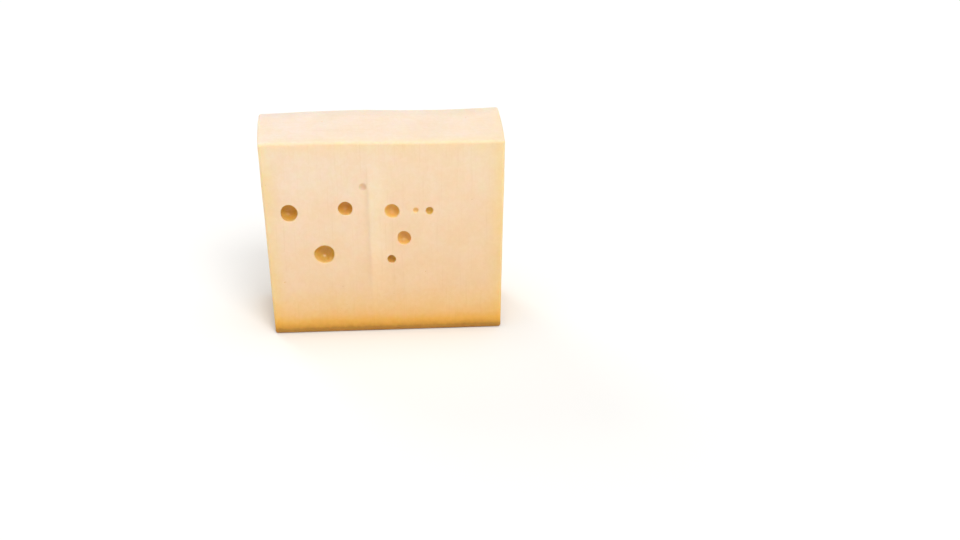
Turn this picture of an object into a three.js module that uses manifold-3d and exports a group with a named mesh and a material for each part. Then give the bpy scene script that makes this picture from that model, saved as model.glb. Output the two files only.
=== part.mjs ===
// A block of semi-hard cheese with round eyes, as cut from a larger cheese and stood on one long narrow side.
// Millimetres, +Z up. The wide face with the eyes looks along -Y, the long narrow side it stands on is at Z = 0,
// and the origin is at the middle of the bottom of the bounding box.
import * as THREE from "three";
import { mergeVertices } from "three/addons/utils/BufferGeometryUtils.js";
import Module from "manifold-3d";

// The block
const LENGTH = 160; // along X, at the top of the front face
const HEIGHT = 138.6;
const DEPTH = 61.6; // front face to back face, halfway along
const EDGE_RADIUS = 1.8; // the soft edges of cut paste
const FOOT_IN_LEFT = 3.0; // how far the left end leans in towards its foot
const FOOT_IN_RIGHT = 2.3; // and the right end
const BACK_OUT_LEFT = 3.8; // how much further out the left end reaches at the back face than at the front
const BACK_OUT_RIGHT = -0.2; // and the right end
const BACK_SKEW = 1.2; // how much deeper the block is at its right end than at its left
const FRONT_TILT = 0.9; // how much the top's front edge rises at the left end and falls at the right
const BELLY = 0.5; // how far the wide faces stand proud at their middle
const END_BELLY = 0.7; // and the ends
const WAVE = 0.22; // the slow waves that a long blade leaves in a face
const WAVE_LENGTH = 74;
const CROWN = 0.65; // the longer wave of the top, fullest at its back edge
const CROWN_LENGTH = 130;
const CROWN_AT = -25; // where along X it is highest

// How finely the skin is divided
const FLAT_STEPS = { x: 14, y: 7, z: 12 };
const ROUND_STEPS = 2; // for each half of a rounded edge

// The eyes. side: the face that cuts them open. across and up: the middle of the opening, across the face (X on the wide
// faces, Y on the ends) and above the bottom, before the block's lean. wide and tall: the opening. sink: how far behind the
// face the eye's middle lies, as a share of its radius: above 0 the eye opens out behind its rim, below 0 it is a dish.
// lean: how far the hollow drifts across and up as it goes in.
const EYES = [
  { side: "front", across: -63.4, up: 89.8, wide: 11.0, tall: 11.4, sink: 0.35, lean: [0.04, 0.06] },
  { side: "front", across: -26.0, up: 92.2, wide: 9.2, tall: 9.4, sink: 0.4, lean: [0.12, 0.1] },
  { side: "front", across: -41.8, up: 59.2, wide: 13.6, tall: 12.8, sink: 0.1, lean: [0.16, 0.12] },
  { side: "front", across: -13.6, up: 107.6, wide: 5.4, tall: 5.0, sink: -0.62, lean: [0, 0] },
  { side: "front", across: 5.1, up: 90.2, wide: 9.6, tall: 9.8, sink: 0, lean: [0.12, 0.05] },
  { side: "front", across: 21.0, up: 90.5, wide: 3.8, tall: 3.8, sink: -0.35, lean: [0, 0] },
  { side: "front", across: 30.2, up: 89.8, wide: 5.0, tall: 5.2, sink: 0.05, lean: [0, 0.05] },
  { side: "front", across: 12.7, up: 70.4, wide: 9.2, tall: 9.4, sink: 0.15, lean: [0.12, 0.05] },
  { side: "front", across: 3.8, up: 55.0, wide: 5.6, tall: 5.8, sink: 0.4, lean: [0.05, 0.05] },
  { side: "back", across: 52.5, up: 96.0, wide: 11.4, tall: 10.8, sink: 0.3, lean: [0.05, 0.05] },
  { side: "back", across: 31.0, up: 75.5, wide: 7.0, tall: 7.4, sink: 0.4, lean: [0, 0.08] },
  { side: "back", across: 8.5, up: 99.5, wide: 9.2, tall: 9.4, sink: 0.1, lean: [-0.08, 0.05] },
  { side: "back", across: -15.0, up: 66.0, wide: 13.2, tall: 12.4, sink: 0.15, lean: [-0.1, 0.1] },
  { side: "back", across: -35.5, up: 92.5, wide: 9.0, tall: 9.4, sink: 0.35, lean: [0.06, 0] },
  { side: "back", across: -53.0, up: 71.5, wide: 5.4, tall: 5.4, sink: -0.2, lean: [0, 0] },
  { side: "back", across: 59.0, up: 59.5, wide: 4.8, tall: 5.0, sink: 0.3, lean: [0, 0] },
  { side: "left", across: -9.0, up: 85.5, wide: 8.8, tall: 9.2, sink: 0.3, lean: [0.05, 0.05] },
  { side: "left", across: 12.5, up: 63.5, wide: 5.6, tall: 5.4, sink: 0.1, lean: [0, 0] },
  { side: "right", across: 7.0, up: 80.0, wide: 10.2, tall: 10.6, sink: 0.25, lean: [0.05, 0.05] },
  { side: "right", across: -12.5, up: 101.0, wide: 4.6, tall: 4.6, sink: -0.1, lean: [0, 0] },
  { side: "right", across: -10.5, up: 54.5, wide: 6.4, tall: 6.6, sink: 0.4, lean: [0, 0] },
];
const EYE_FACET = 2.1; // about how long one facet of an eye's wall is

// Where the grid lines of the skin cross one axis, from -half to +half: even over the flat stretch, by equal angles in the rounded edges
function stations(half, flatSteps) {
  const inner = half - EDGE_RADIUS;
  const rounded = [];
  for (let i = 1; i <= ROUND_STEPS; i++)
    rounded.push(inner + EDGE_RADIUS * Math.tan(((Math.PI / 4) * i) / ROUND_STEPS));
  const flat = [];
  for (let i = 0; i <= flatSteps; i++) flat.push(-inner + (2 * inner * i) / flatSteps);
  return [...rounded.map((v) => -v).reverse(), ...flat, ...rounded];
}

// The straight block with rounded edges, centred on the origin
function roundedBlock() {
  const half = new THREE.Vector3(LENGTH / 2, DEPTH / 2, HEIGHT / 2);
  const lines = {
    x: stations(half.x, FLAT_STEPS.x),
    y: stations(half.y, FLAT_STEPS.y),
    z: stations(half.z, FLAT_STEPS.z),
  };
  const steps = { x: lines.x.length - 1, y: lines.y.length - 1, z: lines.z.length - 1 };
  const box = new THREE.BoxGeometry(1, 1, 1, steps.x, steps.y, steps.z);
  const place = box.getAttribute("position");
  const inner = half.clone().subScalar(EDGE_RADIUS);
  const point = new THREE.Vector3();
  const core = new THREE.Vector3();
  for (let i = 0; i < place.count; i++) {
    point.fromBufferAttribute(place, i);
    for (const k of ["x", "y", "z"]) point[k] = lines[k][Math.round((point[k] + 0.5) * steps[k])];
    core.copy(point).clamp(inner.clone().negate(), inner);
    point.sub(core).setLength(EDGE_RADIUS).add(core);
    place.setXYZ(i, point.x, point.y, point.z);
  }
  return box;
}

// One eye: an ellipsoid set behind its face, leaning as it goes in
function eyeBall(eye) {
  const open = Math.sqrt(1 - eye.sink ** 2);
  const radiusAcross = eye.wide / 2 / open;
  const radiusUp = eye.tall / 2 / open;
  const radiusIn = (radiusAcross + radiusUp) / 2;
  const around = Math.max(14, Math.round((2 * Math.PI * radiusIn) / EYE_FACET));
  const ball = new THREE.SphereGeometry(1, around, Math.max(6, Math.round(around / 2)));
  ball.rotateX(-Math.PI / 2); // the poles lie along the way in, so the rings run round the opening
  // across, in, up
  ball.applyMatrix4(new THREE.Matrix4().makeScale(radiusAcross, radiusIn, radiusUp));
  ball.translate(0, eye.sink * radiusIn, 0);
  const [leanAcross, leanUp] = eye.lean;
  ball.applyMatrix4(new THREE.Matrix4().set(1, leanAcross, 0, 0, 0, 1, 0, 0, 0, leanUp, 1, 0, 0, 0, 0, 1));
  const up = eye.up - HEIGHT / 2;
  if (eye.side === "back") ball.rotateZ(Math.PI);
  if (eye.side === "left") ball.rotateZ(-Math.PI / 2);
  if (eye.side === "right") ball.rotateZ(Math.PI / 2);
  const at = {
    front: [eye.across, -DEPTH / 2, up],
    back: [eye.across, DEPTH / 2, up],
    left: [-LENGTH / 2, eye.across, up],
    right: [LENGTH / 2, eye.across, up],
  }[eye.side];
  ball.translate(...at);
  return ball;
}

// The uneven shape that the straight block takes: leaning ends, a back face that isn't parallel, full faces and slow waves.
// high, back and right run from 0 to 1 up, through and along the block
function uneven(point) {
  const half = (share) => Math.sin(Math.PI * THREE.MathUtils.clamp(share, 0, 1));
  const high = (point.z + HEIGHT / 2) / HEIGHT;
  const back = (point.y + DEPTH / 2) / DEPTH;
  const right = (point.x + LENGTH / 2) / LENGTH;
  const [rise, through, span] = [half(high), half(back), half(right)];
  const full = END_BELLY * through * (0.6 + 0.4 * rise);
  const leftEnd = -LENGTH / 2 + FOOT_IN_LEFT * (1 - high) - BACK_OUT_LEFT * back - full;
  const rightEnd = LENGTH / 2 - FOOT_IN_RIGHT * (1 - high) + BACK_OUT_RIGHT * back + full;
  const x = leftEnd + (rightEnd - leftEnd) * right;
  const turn = (2 * Math.PI) / WAVE_LENGTH;
  const frontWave = WAVE * rise * Math.sin(turn * point.x + 0.8 + 0.6 * high);
  const backWave = WAVE * rise * Math.sin(turn * 0.8 * point.x + 2.6 - 0.9 * high);
  const y =
    point.y -
    (1 - back) * (BELLY * rise * span + frontWave) +
    back * (BELLY * rise * span + backWave + BACK_SKEW * (right - 0.5));
  const topWave = WAVE * Math.sin(turn * 0.9 * point.x + 1.9) * through;
  const crown = CROWN * (0.3 + 0.7 * back) * Math.cos((2 * Math.PI * (point.x - CROWN_AT)) / CROWN_LENGTH);
  const tilt = FRONT_TILT * (1 - back) * (1 - 2 * right);
  const z = point.z + HEIGHT / 2 + high * (topWave + crown + tilt);
  return point.set(x, y, z);
}

const wasm = await Module();
wasm.setup();

// A closed three.js geometry as a solid that can be cut
function solidOf(geometry) {
  const bare = geometry.clone();
  bare.deleteAttribute("normal");
  bare.deleteAttribute("uv");
  const merged = mergeVertices(bare, 1e-4);
  return new wasm.Manifold(
    new wasm.Mesh({
      numProp: 3,
      vertProperties: new Float32Array(merged.getAttribute("position").array),
      triVerts: new Uint32Array(merged.index.array),
    }),
  );
}

function geometryOf(solid) {
  const mesh = solid.getMesh();
  const geometry = new THREE.BufferGeometry();
  geometry.setAttribute("position", new THREE.BufferAttribute(new Float32Array(mesh.vertProperties), 3));
  geometry.setIndex(new THREE.BufferAttribute(new Uint32Array(mesh.triVerts), 1));
  return geometry;
}

function cheeseGeometry() {
  let solid = solidOf(roundedBlock());
  for (const eye of EYES) solid = solid.subtract(solidOf(eyeBall(eye)));
  const geometry = geometryOf(solid);
  const place = geometry.getAttribute("position");
  const point = new THREE.Vector3();
  for (let i = 0; i < place.count; i++) {
    uneven(point.fromBufferAttribute(place, i));
    place.setXYZ(i, point.x, point.y, point.z);
  }
  // The middle of the bottom of the bounding box goes to the origin
  geometry.computeBoundingBox();
  const { min, max } = geometry.boundingBox;
  geometry.translate(-(min.x + max.x) / 2, -(min.y + max.y) / 2, -min.z);
  geometry.computeVertexNormals();
  return geometry;
}

const cheese = new THREE.Mesh(
  cheeseGeometry(),
  new THREE.MeshStandardMaterial({ color: 0xf9ddb6, roughness: 0.55, metalness: 0 }),
);
cheese.name = "cheese_block";

const part = new THREE.Group();
part.name = "cheese";
part.add(cheese);

export default part;
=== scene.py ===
"""A block of semi-hard cheese with round eyes, standing on a long narrow side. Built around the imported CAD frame.

The cheese is one closed mesh made here: the CAD block's own form (leaning ends, full faces, slow waves) on a fine grid, with
each eye let into the grid as rings that run from the cut face over a soft rim and down the wall of the hollow.
"""

import math

import bpy
import numpy as np
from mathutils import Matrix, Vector


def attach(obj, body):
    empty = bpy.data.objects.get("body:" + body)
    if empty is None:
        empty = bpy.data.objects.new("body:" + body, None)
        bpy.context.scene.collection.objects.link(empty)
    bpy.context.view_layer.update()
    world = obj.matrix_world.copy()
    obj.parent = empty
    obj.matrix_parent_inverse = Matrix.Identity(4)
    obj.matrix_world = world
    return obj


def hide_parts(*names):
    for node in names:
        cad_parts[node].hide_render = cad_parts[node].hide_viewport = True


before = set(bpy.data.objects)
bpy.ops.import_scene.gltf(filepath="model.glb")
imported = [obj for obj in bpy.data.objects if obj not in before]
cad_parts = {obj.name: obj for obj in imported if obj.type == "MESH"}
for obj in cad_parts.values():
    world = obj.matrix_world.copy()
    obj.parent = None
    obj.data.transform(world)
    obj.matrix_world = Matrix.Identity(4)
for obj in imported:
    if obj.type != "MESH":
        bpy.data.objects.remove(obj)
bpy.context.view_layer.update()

# ---------------------------------------------------------------- sizes, in millimetres, as in the CAD block
LENGTH, HEIGHT, DEPTH = 160.0, 138.6, 61.6
EDGE_RADIUS = 1.8
FOOT_IN_LEFT, FOOT_IN_RIGHT = 3.0, 2.3
BACK_OUT_LEFT, BACK_OUT_RIGHT = 3.8, -0.2
BACK_SKEW = 1.2
FRONT_TILT = 0.9
BELLY, END_BELLY = 0.5, 0.7
WAVE, WAVE_LENGTH = 0.22, 74.0
CROWN, CROWN_LENGTH, CROWN_AT = 0.65, 130.0, -25.0

# side, across, up, wide, tall, sink, lean across, lean up: the same eyes as in the CAD block
EYES = [
    ("front", -63.4, 89.8, 11.0, 11.4, 0.35, 0.04, 0.06),
    ("front", -26.0, 92.2, 9.2, 9.4, 0.40, 0.12, 0.10),
    ("front", -41.8, 59.2, 13.6, 12.8, 0.10, 0.16, 0.12),
    ("front", -13.6, 107.6, 5.4, 5.0, -0.62, 0.0, 0.0),
    ("front", 5.1, 90.2, 9.6, 9.8, 0.00, 0.12, 0.05),
    ("front", 21.0, 90.5, 3.8, 3.8, -0.35, 0.0, 0.0),
    ("front", 30.2, 89.8, 5.0, 5.2, 0.05, 0.0, 0.05),
    ("front", 12.7, 70.4, 9.2, 9.4, 0.15, 0.12, 0.05),
    ("front", 3.8, 55.0, 5.6, 5.8, 0.40, 0.05, 0.05),
    ("back", 52.5, 96.0, 11.4, 10.8, 0.30, 0.05, 0.05),
    ("back", 31.0, 75.5, 7.0, 7.4, 0.40, 0.0, 0.08),
    ("back", 8.5, 99.5, 9.2, 9.4, 0.10, -0.08, 0.05),
    ("back", -15.0, 66.0, 13.2, 12.4, 0.15, -0.10, 0.10),
    ("back", -35.5, 92.5, 9.0, 9.4, 0.35, 0.06, 0.0),
    ("back", -53.0, 71.5, 5.4, 5.4, -0.20, 0.0, 0.0),
    ("back", 59.0, 59.5, 4.8, 5.0, 0.30, 0.0, 0.0),
    ("left", -9.0, 85.5, 8.8, 9.2, 0.30, 0.05, 0.05),
    ("left", 12.5, 63.5, 5.6, 5.4, 0.10, 0.0, 0.0),
    ("right", 7.0, 80.0, 10.2, 10.6, 0.25, 0.05, 0.05),
    ("right", -12.5, 101.0, 4.6, 4.6, -0.10, 0.0, 0.0),
    ("right", -10.5, 54.5, 6.4, 6.6, 0.40, 0.0, 0.0),
]
# How tan some of the eyes' walls are, by side and across: the strength of their painted shade; a shallow eye keeps more
# of the paste's own colour
TAN = {
    ("front", -63.4): 1.0,
    ("front", -26.0): 0.92,
    ("front", -41.8): 1.10,
    ("front", -13.6): 0.26,
    ("front", 5.1): 0.84,
    ("front", 21.0): 0.66,
    ("front", 30.2): 1.10,
    ("front", 12.7): 0.76,
    ("front", 3.8): 1.0,
}
# Pinholes, which are looks only: side, across, up, width, sink
PINHOLES = [
    ("front", -70.4, 39.2, 1.0, -0.1),
    ("front", -30.5, 34.9, 0.8, -0.3),
    ("front", 27.0, 44.9, 0.9, -0.2),
    ("front", 58.5, 97.4, 0.8, -0.3),
    ("back", 42.0, 54.4, 1.3, 0.1),
    ("back", -5.0, 86.4, 1.0, -0.1),
    ("back", -62.0, 104.4, 1.1, 0.0),
    ("back", 17.0, 44.4, 0.8, -0.2),
    ("back", -44.0, 49.4, 1.2, 0.1),
    ("left", 17.0, 96.4, 1.1, 0.0),
    ("left", -14.0, 49.4, 0.9, -0.2),
    ("right", 15.0, 56.4, 1.2, 0.1),
    ("right", -4.0, 114.4, 0.9, -0.1),
    ("top", -38.0, 9.0, 0.9, -0.2),
    ("top", 57.0, 13.0, 1.0, -0.1),
]
LINE_AT = -10.2  # where the blade's mark runs down the front face
STEP = 1.06  # the grid's spacing on the flat faces
ROUND_STEPS = 4  # for each half of a rounded edge


# ---------------------------------------------------------------- noise
class Noise:
    """Smooth seeded noise between about -1 and 1 at each of many points."""

    def __init__(self, seed):
        rng = np.random.default_rng(seed)
        self.order = rng.permutation(256)
        g = rng.normal(size=(256, 3))
        self.slopes = g / np.linalg.norm(g, axis=1)[:, None]

    def __call__(self, x, y, z):
        p = np.stack(np.broadcast_arrays(x, y, z), -1).astype(float)
        cell = np.floor(p).astype(int)
        f = p - cell
        w = f * f * f * (f * (f * 6 - 15) + 10)
        total = np.zeros(len(p))
        for dx in (0, 1):
            for dy in (0, 1):
                for dz in (0, 1):
                    h = self.order[(cell[:, 0] + dx) & 255]
                    h = self.order[(h + cell[:, 1] + dy) & 255]
                    h = self.order[(h + cell[:, 2] + dz) & 255]
                    d = f - (dx, dy, dz)
                    k = np.ones(len(p))
                    for axis, one in enumerate((dx, dy, dz)):
                        k *= w[:, axis] if one else 1 - w[:, axis]
                    total += k * (self.slopes[h] * d).sum(1)
        return total * 1.6


def smooth(lo, hi, v):
    t = np.clip((v - lo) / (hi - lo), 0, 1)
    return t * t * (3 - 2 * t)


# ---------------------------------------------------------------- the grid of the straight block
HALF = np.array([LENGTH, DEPTH, HEIGHT]) / 2


def stations(half):
    inner = half - EDGE_RADIUS
    rounded = [
        inner + EDGE_RADIUS * math.tan(math.pi / 4 * i / ROUND_STEPS)
        for i in range(1, ROUND_STEPS + 1)
    ]
    flat = np.linspace(-inner, inner, int(round(2 * inner / STEP)) + 1)
    return np.concatenate([[-v for v in reversed(rounded)], flat, rounded])


LINES = [stations(h) for h in HALF]
COUNT = [len(v) - 1 for v in LINES]

# Each side: outward axis and sign, then the axis and sign of across (U) and up (V), so that U x V points outward
SIDES = {
    "front": ((1, -1), (0, 1), (2, 1)),
    "back": ((1, 1), (0, -1), (2, 1)),
    "left": ((0, -1), (1, -1), (2, 1)),
    "right": ((0, 1), (1, 1), (2, 1)),
    "top": ((2, 1), (0, 1), (1, 1)),
    "bottom": ((2, -1), (0, -1), (1, 1)),
}

points = []  # in the straight block's space, centred on it
outward = []  # the straight block's own normal there
eye_wall = []  # 0 on the skin to 1 on an eye's wall
eye_deep = []  # 0 at an eye's rim to 1 at its bottom
eye_tint = []  # how tan an eye's wall is: the strength of its painted shade
quads, tris = [], []
at_lattice = {}


def add(point, normal, wall=0.0, deep=0.0, tint=0.5):
    points.append(point)
    outward.append(normal)
    eye_wall.append(wall)
    eye_deep.append(deep)
    eye_tint.append(tint)
    return len(points) - 1


def rounded_point(p):
    core = np.clip(p, -(HALF - EDGE_RADIUS), HALF - EDGE_RADIUS)
    n = (p - core) / np.linalg.norm(p - core)
    return core + EDGE_RADIUS * n, n


def lattice(key):
    """The vertex at a grid point of the skin, made when it is first used."""
    if key not in at_lattice:
        p = np.array([LINES[k][key[k]] for k in range(3)])
        at_lattice[key] = add(*rounded_point(p))
    return at_lattice[key]


def grid_of(side):
    """Local coordinates of a side's grid lines, and a function from its cell corners to the skin's grid points."""
    (n_axis, n_sign), (u_axis, u_sign), (v_axis, v_sign) = SIDES[side]
    u = LINES[u_axis] if u_sign > 0 else -LINES[u_axis][::-1]
    v = LINES[v_axis] if v_sign > 0 else -LINES[v_axis][::-1]

    def key(a, b):
        k = [0, 0, 0]
        k[n_axis] = COUNT[n_axis] if n_sign > 0 else 0
        k[u_axis] = a if u_sign > 0 else COUNT[u_axis] - a
        k[v_axis] = b if v_sign > 0 else COUNT[v_axis] - b
        return tuple(k)

    return u, v, key


def eye_rings(loop_u, loop_v, wide, tall, sink, rim, wobble, ring_step):
    """Rings of (along U, along V, depth, wall, deep) for one eye, from just inside the loop to the bottom. loop_u and loop_v are
    measured from the opening's middle."""
    angle = np.arctan2(loop_v, loop_u)
    far = np.hypot(loop_u, loop_v)
    way_u, way_v = np.cos(angle), np.sin(angle)
    open_r = 1 / np.sqrt((way_u / (wide / 2)) ** 2 + (way_v / (tall / 2)) ** 2)
    (a2, p2), (a3, p3), (a5, p5) = wobble
    odd = (
        1
        + a2 * np.cos(2 * angle + p2)
        + a3 * np.cos(3 * angle + p3)
        + a5 * np.cos(5 * angle + p5)
    )
    open_r = open_r * odd
    start = math.acos(sink)  # angle from the way out, at the opening
    mean = (wide + tall) / 4
    in_r = mean / math.sin(start)  # the ellipsoid's half depth
    bottom = in_r * (1 + sink)
    rings = []
    # the flat collar round the opening, closer rings towards the rim
    outer = open_r + rim
    gap = float((far - outer).mean())
    flats = max(2, int(round(gap / ring_step)))
    for i in range(1, flats + 1):
        t = i / flats
        t = t * (1.35 - 0.35 * t)
        r = far + (outer - far) * t
        rings.append((way_u * r, way_v * r, np.zeros_like(r), 0.0, 0.0))
    # the soft rim, a curve from the face round into the wall
    past = start + rim / in_r
    wall_r = math.sin(past) / math.sin(start)
    wall_d = in_r * (sink - math.cos(past))
    soft = 5 if mean > 2 else 3
    for i in range(1, soft + 1):
        t = i / soft
        r = (1 - t) ** 2 * outer + 2 * t * (1 - t) * open_r + t * t * wall_r * open_r
        d = t * t * wall_d
        rings.append(
            (way_u * r, way_v * r, np.full_like(r, d), smooth(0.25, 1, t), 0.0)
        )
    # the wall
    arc = (math.pi - past) * in_r
    walls = max(3, int(round(arc / ring_step)))
    for i in range(1, walls):
        turn = past + (math.pi - past) * i / walls
        r = open_r * math.sin(turn) / math.sin(start)
        r = r / odd ** smooth(0, 1, i / walls)  # rounder towards the bottom
        d = in_r * (sink - math.cos(turn))
        rings.append((way_u * r, way_v * r, np.full_like(r, d), 1.0, d / bottom))
    return rings, bottom


taken = {s: [] for s in SIDES}
rng = np.random.default_rng(11)


def let_in(side, across, up, wide, tall, sink, lean_u, lean_v, rim, margin, ring_step, wobbly):
    """Lets one eye into a side's grid: its square of cells is left out, and rings of faces take their place."""
    (n_axis, n_sign), (u_axis, u_sign), (v_axis, v_sign) = SIDES[side]
    u, v, key = grid_of(side)
    uc = across * u_sign
    vc = (up if side in ("top", "bottom") else up - HEIGHT / 2) * v_sign
    reach_u, reach_v = wide / 2 + margin, tall / 2 + margin
    a0, a1 = np.searchsorted(u, uc - reach_u) - 1, np.searchsorted(u, uc + reach_u)
    b0, b1 = np.searchsorted(v, vc - reach_v) - 1, np.searchsorted(v, vc + reach_v)
    low, high = ROUND_STEPS, len(u) - 1 - ROUND_STEPS
    assert a0 >= low and a1 <= high, (side, across)
    for c0, c1, d0, d1 in taken[side]:
        assert a1 <= c0 or a0 >= c1 or b1 <= d0 or b0 >= d1, (side, across, up)
    taken[side].append((a0, a1, b0, b1))
    corners = (
        [(a, b0) for a in range(a0, a1)]
        + [(a1, b) for b in range(b0, b1)]
        + [(a, b1) for a in range(a1, a0, -1)]
        + [(a0, b) for b in range(b1, b0, -1)]
    )
    loop_u = np.array([u[a] for a, b in corners]) - uc
    loop_v = np.array([v[b] for a, b in corners]) - vc
    wobble = [
        (wobbly * rng.uniform(0.4, 1.0) * k, rng.uniform(0, 2 * math.pi))
        for k in (1.0, 0.8, 0.35)
    ]
    # how tan the wall is, as painted shade: deeper eyes darker, pinholes half as much
    tint = float(smooth(-0.85, -0.1, sink) * (0.93 + 0.07 * smooth(0.0, 0.4, sink))) * rng.uniform(0.97, 1.0)
    tint = TAN.get((side, across), tint * (0.5 if wide < 2 else 1.0))
    rings, bottom = eye_rings(loop_u, loop_v, wide, tall, sink, rim, wobble, ring_step)
    normal = np.zeros(3)
    normal[n_axis] = n_sign

    def place(du, dv, d):
        p = np.zeros(3)
        p[n_axis] = n_sign * (HALF[n_axis] - d)
        p[u_axis] = u_sign * (uc + du + lean_u * d)
        p[v_axis] = v_sign * (vc + dv + lean_v * d)
        return p

    before = [lattice(key(a, b)) for a, b in corners]
    n = len(corners)
    for ru, rv, rd, wall, deep in rings:
        now = [
            add(place(ru[i], rv[i], rd[i]), normal, float(wall), float(deep), tint)
            for i in range(n)
        ]
        for i in range(n):
            j = (i + 1) % n
            quads.append((before[i], before[j], now[j], now[i]))
        before = now
    end = add(place(0.0, 0.0, bottom), normal, 1.0, 1.0, tint)
    for i in range(n):
        tris.append((before[i], before[(i + 1) % n], end))


for side, across, up, wide, tall, sink, lu, lv in EYES:
    size = max(wide, tall)
    let_in(
        side, across, up, wide, tall, sink, lu, lv,
        rim=0.42 + 0.03 * size,
        margin=1.1 if size > 8 else 0.9,
        ring_step=0.75 if size > 8 else 0.5,
        wobbly=0.03,
    )
for side, across, up, width, sink in PINHOLES:
    let_in(
        side, across, up, width, width * 0.9, sink, 0.0, 0.0,
        rim=0.12, margin=0.6, ring_step=0.35, wobbly=0.10,
    )

for side in SIDES:
    u, v, key = grid_of(side)
    free = np.ones((len(u) - 1, len(v) - 1), bool)
    for a0, a1, b0, b1 in taken[side]:
        free[a0:a1, b0:b1] = False
    for a, b in zip(*np.nonzero(free)):
        quads.append(
            (
                lattice(key(a, b)),
                lattice(key(a + 1, b)),
                lattice(key(a + 1, b + 1)),
                lattice(key(a, b + 1)),
            )
        )

straight = np.array(points)
n0 = np.array(outward)
wall = np.array(eye_wall)
deep = np.array(eye_deep)
tint = np.array(eye_tint)


# ---------------------------------------------------------------- the uneven block
def uneven(p):
    """The CAD block's own unevenness: leaning ends, a back face that isn't parallel, full faces and slow waves. Heights then
    start at 0."""
    high = (p[:, 2] + HEIGHT / 2) / HEIGHT
    back = (p[:, 1] + DEPTH / 2) / DEPTH
    right = (p[:, 0] + LENGTH / 2) / LENGTH
    rise = np.sin(np.pi * np.clip(high, 0, 1))
    span = np.sin(np.pi * np.clip(right, 0, 1))
    through = np.sin(np.pi * np.clip(back, 0, 1))
    full = END_BELLY * through * (0.6 + 0.4 * rise)
    left_end = -LENGTH / 2 + FOOT_IN_LEFT * (1 - high) - BACK_OUT_LEFT * back - full
    right_end = LENGTH / 2 - FOOT_IN_RIGHT * (1 - high) + BACK_OUT_RIGHT * back + full
    x = left_end + (right_end - left_end) * right
    turn = 2 * np.pi / WAVE_LENGTH
    front_wave = WAVE * rise * np.sin(turn * p[:, 0] + 0.8 + 0.6 * high)
    back_wave = WAVE * rise * np.sin(turn * 0.8 * p[:, 0] + 2.6 - 0.9 * high)
    y = (
        p[:, 1]
        - (1 - back) * (BELLY * rise * span + front_wave)
        + back * (BELLY * rise * span + back_wave + BACK_SKEW * (right - 0.5))
    )
    top_wave = WAVE * np.sin(turn * 0.9 * p[:, 0] + 1.9) * through
    crown = CROWN * (0.3 + 0.7 * back) * np.cos(2 * np.pi * (p[:, 0] - CROWN_AT) / CROWN_LENGTH)
    tilt = FRONT_TILT * (1 - back) * (1 - 2 * right)
    return np.stack([x, y, p[:, 2] + HEIGHT / 2 + high * (top_wave + crown + tilt)], -1)


shape = uneven(straight)
middle = (shape.min(0) + shape.max(0)) / 2
shape[:, :2] -= middle[:2]
shape[:, 2] -= shape[:, 2].min()


def vertex_normals(co):
    total = np.zeros_like(co)
    q = np.array(quads)
    t = np.array(tris)
    for tri in (q[:, [0, 1, 2]], q[:, [0, 2, 3]], t):
        a, b, c = co[tri[:, 0]], co[tri[:, 1]], co[tri[:, 2]]
        n = np.cross(b - a, c - a)
        for k in range(3):
            np.add.at(total, tri[:, k], n)
    return total / np.maximum(np.linalg.norm(total, axis=1), 1e-12)[:, None]


# What a blade, handling and time leave on the cut faces, along the surface's own normal
x, y, z = straight.T
high = z + HEIGHT / 2
skin = 1 - wall
wide_w = np.abs(n0[:, 1]) ** 2
end_w = np.abs(n0[:, 0]) ** 2
top_w = np.clip(n0[:, 2], 0, 1) ** 2
under_w = np.clip(-n0[:, 2], 0, 1) ** 2
edge_w = np.clip(1 - np.abs(n0).max(1), 0, 0.3) / 0.3

lumps = (
    0.13 * Noise(1)(x / 24, y / 24, z / 24)
    + 0.05 * Noise(2)(x / 8.5, y / 8.5, z / 8.5)
    + 0.028 * Noise(8)(x / 3.1, y / 3.1, z / 3.1)
    - 0.16 * smooth(0.50, 0.95, Noise(9)(x / 3.6, y / 3.6, z / 3.6))
)
blade = Noise(3)
drag = (
    wide_w * (0.075 * blade(x / 4.6, z / 95, y * 0 + 3.1) + 0.042 * blade(x / 2.2, z / 60, y * 0 + 9.7))
    + end_w * (0.075 * blade(y / 4.4, z / 90, x * 0 + 5.3) + 0.042 * blade(y / 2.2, z / 60, x * 0 + 1.2))
    + top_w * (0.075 * blade(y / 4.2, x / 100, z * 0 + 7.7) + 0.042 * blade(y / 2.1, x / 70, z * 0 + 2.4))
)
# the one long mark down the front face, where the blade was set again: a low step whose right side stands proud and slopes away
line_x = LINE_AT + 0.35 * Noise(4)(high / 17, 0 * high, 0 * high)
line_share = smooth(12, 62, high) * (1 - 0.8 * smooth(100, 128, high)) * np.clip(-n0[:, 1], 0, 1) * skin
past_line = x - line_x
mark = line_share * (
    0.32 * smooth(-1.0, 1.3, past_line) * (1 - smooth(1.0, 30, past_line))
    - 0.08 * np.exp(-(((past_line + 1.3) / 1.1) ** 2))
)
# edges that have been touched: slow dips, and a few small nicks
dips = edge_w * (
    -0.22 * smooth(0.1, 0.9, Noise(5)(x / 15, y / 15, z / 15))
    - 0.38 * smooth(0.42, 0.8, Noise(6)(x / 3.4, y / 3.4, z / 3.4))
)
walls = 0.16 * Noise(7)(x / 5.5, y / 5.5, z / 5.5) * smooth(0.0, 0.35, deep) * wall
push = (skin * (lumps + drag + mark + dips) + walls) * (1 - under_w) * smooth(0, 2.5, high)
shape = shape + vertex_normals(shape) * push[:, None]
shape[:, 2] = np.maximum(shape[:, 2], 0)

# ---------------------------------------------------------------- the mesh
mesh = bpy.data.meshes.new("cheese")
mesh.from_pydata((shape / 1000).tolist(), [], quads + tris)
mesh.update()
mesh.shade_smooth()


def keep(name, values):
    mesh.attributes.new(name, "FLOAT", "POINT").data.foreach_set("value", values.astype(np.float32))


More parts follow.
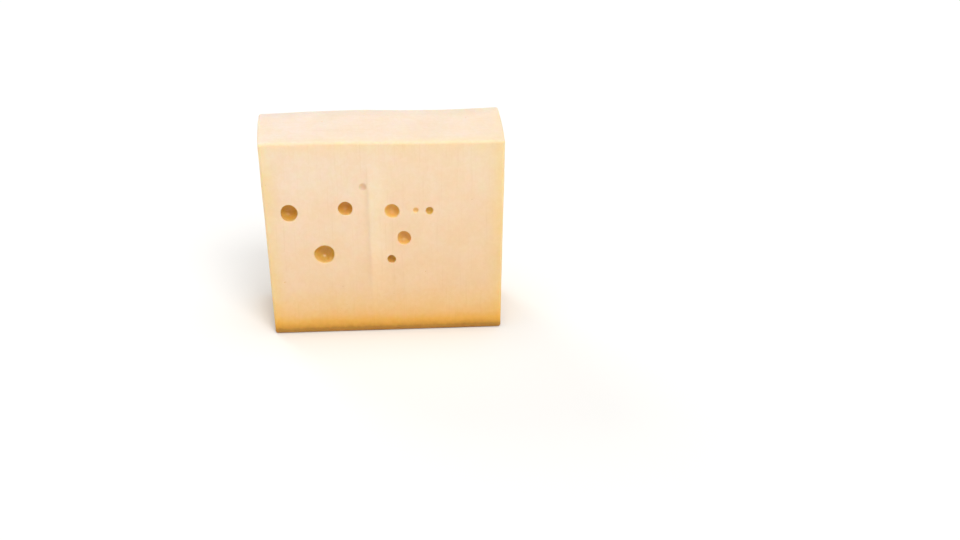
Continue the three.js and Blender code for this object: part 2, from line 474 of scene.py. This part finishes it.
in_x, in_y = HALF[0] - np.abs(x), HALF[1] - np.abs(y)
from_upright = np.maximum(in_x, in_y)  # distance to the nearest upright edge, for points on the four upright faces
from_top_edge = np.maximum(HALF[2] - z, np.minimum(in_x, in_y))
# where the edges get a painted glow of light: the upright edges, and the top's edges towards the front
near_edge = np.maximum(
    (1 - smooth(0, 13, from_upright)) * (1 - top_w) * (1 - under_w),
    0.5 * (1 - smooth(0, 13, from_top_edge)) * (1 - 0.8 * smooth(5, 28, y)),
)
mark_light_and_shade = line_share * (  # painted light and shade of the blade's mark: paler to the right of it, darker in it
    smooth(-0.8, 1.0, past_line) * (1 - smooth(1.5, 17, past_line))
    - 0.8 * np.exp(-(((past_line + 1.3) / 1.5) ** 2))
)
keep("wall", wall)
keep("deep", deep)
keep("tint", tint)
keep("wide_face", wide_w * skin)
keep("end_face", end_w * skin)
keep("top_face", top_w * skin)
keep("under_face", under_w * skin)
keep("near_edge", near_edge * skin)
keep("mark_light_and_shade", mark_light_and_shade)

cheese = bpy.data.objects.new("cheese", mesh)
bpy.context.scene.collection.objects.link(cheese)


# ---------------------------------------------------------------- materials
class Nodes:
    """Short ways to make and join a material's nodes."""

    def __init__(self, name):
        self.material = bpy.data.materials.new(name)
        self.material.use_nodes = True
        self.tree = self.material.node_tree
        self.tree.nodes.clear()
        self.out = self.tree.nodes.new("ShaderNodeOutputMaterial")

    def node(self, kind, **settings):
        n = self.tree.nodes.new(kind)
        for k, v in settings.items():
            setattr(n, k, v)
        return n

    def put(self, value, socket):
        if isinstance(value, bpy.types.NodeSocket):
            self.tree.links.new(value, socket)
        else:
            socket.default_value = value

    def math(self, how, a, b=0.0, c=0.0, clamp=False):
        n = self.node("ShaderNodeMath", operation=how, use_clamp=clamp)
        for value, socket in zip((a, b, c), n.inputs):
            self.put(value, socket)
        return n.outputs[0]

    def attribute(self, name):
        return self.node("ShaderNodeAttribute", attribute_name=name).outputs["Fac"]

    def noise(self, where, scale, detail=2.0, roughness=0.5, distortion=0.0):
        n = self.node("ShaderNodeTexNoise")
        self.put(where, n.inputs["Vector"])
        n.inputs["Scale"].default_value = scale
        n.inputs["Detail"].default_value = detail
        n.inputs["Roughness"].default_value = roughness
        n.inputs["Distortion"].default_value = distortion
        return n.outputs["Fac"]

    def cells(self, where, scale):
        """Distance to the nearest of many points strewn through space, in units of their spacing."""
        n = self.node("ShaderNodeTexVoronoi", feature="F1")
        self.put(where, n.inputs["Vector"])
        n.inputs["Scale"].default_value = scale
        return n.outputs["Distance"]

    def stretched(self, where, scale):
        n = self.node("ShaderNodeMapping")
        self.put(where, n.inputs["Vector"])
        n.inputs["Scale"].default_value = scale
        return n.outputs[0]

    def ramp(self, value, stops, smooth_ramp=False):
        n = self.node("ShaderNodeValToRGB")
        if smooth_ramp:
            n.color_ramp.interpolation = "EASE"
        self.put(value, n.inputs[0])
        bits = n.color_ramp.elements
        while len(bits) < len(stops):
            bits.new(1.0)
        for bit, (at, colour) in zip(bits, stops):
            bit.position = at
            bit.color = colour if len(colour) == 4 else (*colour, 1)
        return n.outputs[0]

    def remap(self, value, a, b, c=0.0, d=1.0, ease=True):
        n = self.node(
            "ShaderNodeMapRange", interpolation_type="SMOOTHSTEP" if ease else "LINEAR"
        )
        for v, socket in zip((value, a, b, c, d), n.inputs):
            self.put(v, socket)
        return n.outputs[0]

    def mix(self, factor, a, b, how="MIX"):
        n = self.node("ShaderNodeMix", data_type="RGBA", blend_type=how)
        self.put(factor, n.inputs[0])
        self.put(a, n.inputs[6])
        self.put(b, n.inputs[7])
        return n.outputs[2]


def cheese_material():
    m = Nodes("cheese_paste")
    own = m.node("ShaderNodeTexCoord").outputs["Object"]
    xyz = m.node("ShaderNodeSeparateXYZ")
    m.put(own, xyz.inputs[0])
    height = m.math("MULTIPLY", xyz.outputs["Z"], 1000.0)  # millimetres
    wall_a, deep_a, tint_a = m.attribute("wall"), m.attribute("deep"), m.attribute("tint")
    wide_a, end_a, top_a = m.attribute("wide_face"), m.attribute("end_face"), m.attribute("top_face")
    edge_a = m.attribute("near_edge")

    # fine lines that the blade drew, and pinpricks of gas
    lines_wide = m.noise(m.stretched(own, (1.0, 1.0, 0.025)), 900.0, 3.0, 0.6)
    lines_end = m.noise(m.stretched(own, (1.0, 1.0, 0.025)), 950.0, 3.0, 0.6)
    lines_top = m.noise(m.stretched(own, (0.022, 1.0, 1.0)), 900.0, 3.0, 0.6)
    lines = m.math(
        "ADD",
        m.math("MULTIPLY", wide_a, lines_wide),
        m.math(
            "ADD",
            m.math("MULTIPLY", end_a, lines_end),
            m.math("MULTIPLY", top_a, lines_top),
        ),
    )
    gather = m.remap(m.noise(own, 52.0, 3.0, 0.6), 0.50, 0.72, 0.0, 0.15)
    pricks = m.remap(m.math("SUBTRACT", gather, m.cells(own, 330.0)), 0.0, 0.06)

    # paste: pale ivory-yellow, lighter towards the top and golden towards the foot, with a brown band at the very
    # bottom; the band is partly rind and partly painted contact shadow, and the fall from top to foot is painted shade
    # and painted warm bounce light near the ground
    drift = m.remap(height, 2.0, 22.0, 1.0, 9.0)
    uneven_foot = m.math("MULTIPLY", m.math("SUBTRACT", m.noise(own, 34.0, 2.0), 0.5), drift)
    ragged = m.math("MULTIPLY", m.math("SUBTRACT", m.noise(own, 300.0, 5.0, 0.6), 0.5), 3.0)
    foot_at = m.math("ADD", height, m.math("ADD", uneven_foot, ragged))
    foot_share = m.math("DIVIDE", foot_at, HEIGHT)
    paste = m.ramp(
        foot_share,
        [
            (0.000, (0.420, 0.192, 0.024)),
            (0.023, (0.500, 0.246, 0.029)),
            (0.034, (0.680, 0.352, 0.047)),
            (0.046, (0.775, 0.418, 0.069)),
            (0.064, (0.840, 0.480, 0.104)),
            (0.098, (0.864, 0.545, 0.216)),
            (0.150, (0.866, 0.590, 0.290)),
            (0.250, (0.872, 0.632, 0.396)),
            (0.560, (0.904, 0.687, 0.477)),
            (0.920, (0.992, 0.736, 0.543)),
        ],
    )
    # slow change along the block
    along = m.ramp(
        m.remap(xyz.outputs["X"], -0.075, 0.085, ease=False),
        [(0.0, (1.004, 1.015, 1.045)), (0.75, (1.0, 0.996, 0.97)), (1.0, (1.0, 0.990, 0.94))],
    )
    paste = m.mix(1.0, paste, along, "MULTIPLY")
    clouds = m.remap(m.noise(own, 42.0, 4.0, 0.55, 0.3), 0.3, 0.7)
    paste = m.mix(clouds, m.mix(1.0, paste, (1.006, 1.014, 1.04, 1), "MULTIPLY"), m.mix(1.0, paste, (0.99, 0.972, 0.93, 1), "MULTIPLY"))
    curd = m.remap(m.noise(own, 300.0, 4.0, 0.62, 0.8), 0.36, 0.66)
    paste = m.mix(curd, m.mix(1.0, paste, (0.992, 0.984, 0.962, 1), "MULTIPLY"), m.mix(1.0, paste, (1.01, 1.016, 1.035, 1), "MULTIPLY"))
    paste = m.mix(m.remap(lines, 0.56, 0.70), paste, m.mix(1.0, paste, (0.975, 0.962, 0.93, 1), "MULTIPLY"))
    # the pinpricks are darker: painted shade in the tiny pits
    paste = m.mix(pricks, paste, m.mix(1.0, paste, (0.92, 0.86, 0.74, 1), "MULTIPLY"))
    # yellower near the edges: painted glow of light through the thin edges, and a painted highlight along the top's
    # front edge
    painted_edge_glow = m.math("MULTIPLY", edge_a, m.remap(m.noise(own, 60.0, 2.0), 0.25, 0.75, 0.6, 1.0))
    paste = m.mix(painted_edge_glow, paste, m.mix(1.0, paste, (1.0, 1.0, 0.76, 1), "MULTIPLY"))
    # the top face paler, bluer and a little less red: painted sheen of the light on the top
    paste = m.mix(top_a, paste, m.mix(1.0, paste, (0.885, 0.977, 1.07, 1), "MULTIPLY"))
    # greyer towards the back edge of the top: painted shade
    top_back = m.math("MULTIPLY", top_a, m.remap(xyz.outputs["Y"], 0.014, 0.031))
    paste = m.mix(top_back, paste, m.mix(1.0, paste, (0.935, 0.980, 1.04, 1), "MULTIPLY"))
    # the blade's mark: painted highlight on its right side, painted shade in it
    mark_light_and_shade_a = m.attribute("mark_light_and_shade")
    paste = m.mix(m.math("MAXIMUM", mark_light_and_shade_a, 0.0), paste, m.mix(1.0, paste, (1.060, 1.070, 1.085, 1), "MULTIPLY"))
    paste = m.mix(m.math("MAXIMUM", m.math("MULTIPLY", mark_light_and_shade_a, -1.0), 0.0), paste, m.mix(1.0, paste, (0.95, 0.94, 0.91, 1), "MULTIPLY"))

    # the underside is rind: golden brown, blotched and finely wrinkled
    under_a = m.attribute("under_face")
    rind = m.ramp(
        m.noise(own, 85.0, 5.0, 0.6, 0.5),
        [(0.30, (0.400, 0.178, 0.024)), (0.50, (0.520, 0.262, 0.042)), (0.68, (0.640, 0.362, 0.085))],
    )
    spots = m.remap(m.noise(own, 260.0, 3.0, 0.6), 0.60, 0.72)
    rind = m.mix(spots, rind, m.mix(1.0, rind, (0.72, 0.66, 0.58, 1), "MULTIPLY"))
    paste = m.mix(under_a, paste, rind)

    # eye walls: tan, and browner the deeper they go, as painted shade of the hollow over a wall a little more golden
    # than the paste; a shallow dish keeps more of the paste's own colour
    eye = m.ramp(
        deep_a,
        [
            (0.00, (0.900, 0.664, 0.310)),
            (0.22, (0.882, 0.606, 0.210)),
            (0.60, (0.808, 0.492, 0.110)),
            (1.00, (0.765, 0.438, 0.080)),
        ],
    )
    stain = m.remap(m.noise(own, 240.0, 2.0), 0.35, 0.7)
    eye = m.mix(stain, eye, m.mix(1.0, eye, (0.93, 0.90, 0.82, 1), "MULTIPLY"))
    colour = m.mix(m.math("MULTIPLY", wall_a, tint_a, clamp=True), paste, eye)
    # walls of middling tan made more golden: painted warm light bounced round the hollow
    golden = m.math("MULTIPLY", m.remap(tint_a, 0.35, 0.60), m.remap(tint_a, 0.88, 1.00, 1.0, 0.0))
    colour = m.mix(m.math("MULTIPLY", wall_a, golden), colour, m.mix(1.0, colour, (1.08, 1.03, 0.86, 1), "MULTIPLY"))
    # walls tanner than 1 made darker still: more painted shade in the deepest eyes
    browner = m.math("MULTIPLY", wall_a, m.math("SUBTRACT", tint_a, 1.0, clamp=True))
    colour = m.mix(browner, colour, m.mix(1.0, colour, (0.74, 0.71, 0.70, 1), "MULTIPLY"))
    # shallow eyes made greyer and darker: painted shade of a shallow dish
    pale = m.math("MULTIPLY", wall_a, m.math("POWER", m.math("SUBTRACT", 1.0, tint_a, clamp=True), 2.0))
    colour = m.mix(pale, colour, m.mix(1.0, colour, (0.79, 0.80, 0.84, 1), "MULTIPLY"))

    # relief finer than the mesh
    grain = m.noise(own, 1500.0, 3.0, 0.65)
    pores = m.remap(m.noise(own, 520.0, 2.0, 0.5, 0.8), 0.66, 0.76)  # sparse shallow pits
    skin_share = m.math("SUBTRACT", 1.0, wall_a)
    crumb = m.noise(own, 620.0, 3.0, 0.6, 0.5)
    relief = m.math("MULTIPLY", lines, 0.55)
    relief = m.math("MULTIPLY_ADD", grain, 0.30, relief)
    relief = m.math("MULTIPLY_ADD", crumb, 0.45, relief)
    relief = m.math("MULTIPLY_ADD", pores, -0.65, relief)
    relief = m.math("MULTIPLY_ADD", pricks, -1.2, relief)
    wrinkles = m.noise(own, 210.0, 5.0, 0.62, 1.2)
    rind_share = m.math("MAXIMUM", under_a, m.remap(foot_at, 2.6, 5.4, 0.6, 0.0))
    relief = m.math("MULTIPLY_ADD", m.math("MULTIPLY", wrinkles, rind_share), 3.0, relief)
    relief = m.math("MULTIPLY", relief, skin_share)
    bump = m.node("ShaderNodeBump")
    bump.inputs["Strength"].default_value = 0.6
    bump.inputs["Distance"].default_value = 0.00016
    m.put(relief, bump.inputs["Height"])

    shader = m.node("ShaderNodeBsdfPrincipled")
    m.put(colour, shader.inputs["Base Color"])
    damp = m.remap(m.noise(own, 55.0, 3.0, 0.5), 0.3, 0.7, 0.42, 0.56)
    rough = m.math("MULTIPLY_ADD", grain, 0.10, m.math("SUBTRACT", damp, 0.05))
    rough = m.math("MULTIPLY_ADD", wall_a, -0.20, rough)
    m.put(rough, shader.inputs["Roughness"])
    m.put(bump.outputs[0], shader.inputs["Normal"])
    shader.inputs["IOR"].default_value = 1.45
    shader.inputs["Subsurface Weight"].default_value = 0.85
    shader.inputs["Subsurface Radius"].default_value = (1.0, 0.55, 0.28)
    shader.inputs["Subsurface Scale"].default_value = 0.0022
    m.tree.links.new(shader.outputs[0], m.out.inputs["Surface"])
    return m.material


def floor_material():
    m = Nodes("pale_floor")
    shader = m.node("ShaderNodeBsdfPrincipled")
    shader.inputs["Base Color"].default_value = (0.90, 0.90, 0.895, 1)
    shader.inputs["Roughness"].default_value = 0.75
    shader.inputs["IOR"].default_value = 1.3
    m.tree.links.new(shader.outputs[0], m.out.inputs["Surface"])
    return m.material


cheese.data.materials.append(cheese_material())
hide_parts("cheese_block")
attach(cheese, "root")

# ---------------------------------------------------------------- floor, backdrop, light and camera
ROUND, FLOOR_R, CURVE_R, WALL = 128, 5.0, 1.4, 1.6  # sides, then metres


def turned(name, profile, material):
    """A smooth sheet turned about the upright axis from (radius, height) pairs."""
    ways = [(math.cos(2 * math.pi * i / ROUND), math.sin(2 * math.pi * i / ROUND)) for i in range(ROUND)]
    co = [(r * c, r * s, h) for r, h in profile for c, s in ways]
    faces = [
        (k * ROUND + i, (k + 1) * ROUND + i, (k + 1) * ROUND + (i + 1) % ROUND, k * ROUND + (i + 1) % ROUND)
        for k in range(len(profile) - 1)
        for i in range(ROUND)
    ]
    sheet = bpy.data.meshes.new(name)
    sheet.from_pydata(co, [], faces if faces else [tuple(range(ROUND))])
    sheet.shade_smooth()
    o = bpy.data.objects.new(name, sheet)
    o.data.materials.append(material)
    bpy.context.scene.collection.objects.link(o)
    return o


pale = floor_material()
floor = turned("floor", [(FLOOR_R, 0.0)], pale)
# the floor's edge curves up into a low wall all round; it is only looked at, so it neither lights nor shades the cheese
bends = [math.pi / 2 * k / 16 for k in range(17)]
backdrop = turned(
    "backdrop",
    [(FLOOR_R + CURVE_R * math.sin(a), CURVE_R * (1 - math.cos(a))) for a in bends] + [(FLOOR_R + CURVE_R, CURVE_R + WALL)],
    pale,
)
backdrop.visible_diffuse = backdrop.visible_glossy = backdrop.visible_transmission = False
backdrop.visible_volume_scatter = backdrop.visible_shadow = False

scene = bpy.context.scene
scene.view_settings.view_transform = "Standard"
scene.view_settings.look = "None"
scene.view_settings.exposure = 0.0
scene.view_settings.gamma = 1.0

world = bpy.data.worlds.new("studio")
scene.world = world
world.use_nodes = True
world.node_tree.nodes["Background"].inputs["Color"].default_value = (1.0, 0.995, 0.985, 1)
world.node_tree.nodes["Background"].inputs["Strength"].default_value = 0.45


def sun(name, toward, angle, strength, colour=(1, 1, 1)):
    """A wide soft light from afar. toward: the way to the light."""
    light = bpy.data.lights.new(name, "SUN")
    light.angle = math.radians(angle)
    light.energy = strength
    light.color = colour
    o = bpy.data.objects.new(name, light)
    o.rotation_mode = "QUATERNION"
    o.rotation_quaternion = Vector(toward).to_track_quat("Z", "Y")
    o.location = Vector(toward) * 2
    scene.collection.objects.link(o)
    return o


sun("over", (0.05, -0.05, 1.0), 50.0, 1.04, (1.0, 0.99, 0.975))
sun("key", (0.30, -0.75, 1.0), 25.0, 1.25, (1.0, 0.99, 0.97))
sun("behind", (-0.50, 0.80, 0.62), 24.0, 0.50, (1.0, 0.99, 0.975))

camera_data = bpy.data.cameras.new("camera")
camera = bpy.data.objects.new("camera", camera_data)
camera_data.sensor_fit = "HORIZONTAL"
camera_data.sensor_width = 36.0
camera_data.lens = 1399.0 * 36.0 / 960.0
camera_data.clip_start, camera_data.clip_end = 0.05, 50.0
camera.location = ((8.42 - middle[0]) / 1000, (-877.6 - middle[1]) / 1000, 0.46880)
camera.rotation_euler = (math.radians(90 - 26.57), 0.0, math.radians(-3.72))
scene.collection.objects.link(camera)
scene.camera = camera

print("faces", len(quads), "quads", len(tris), "tris", len(points), "points")
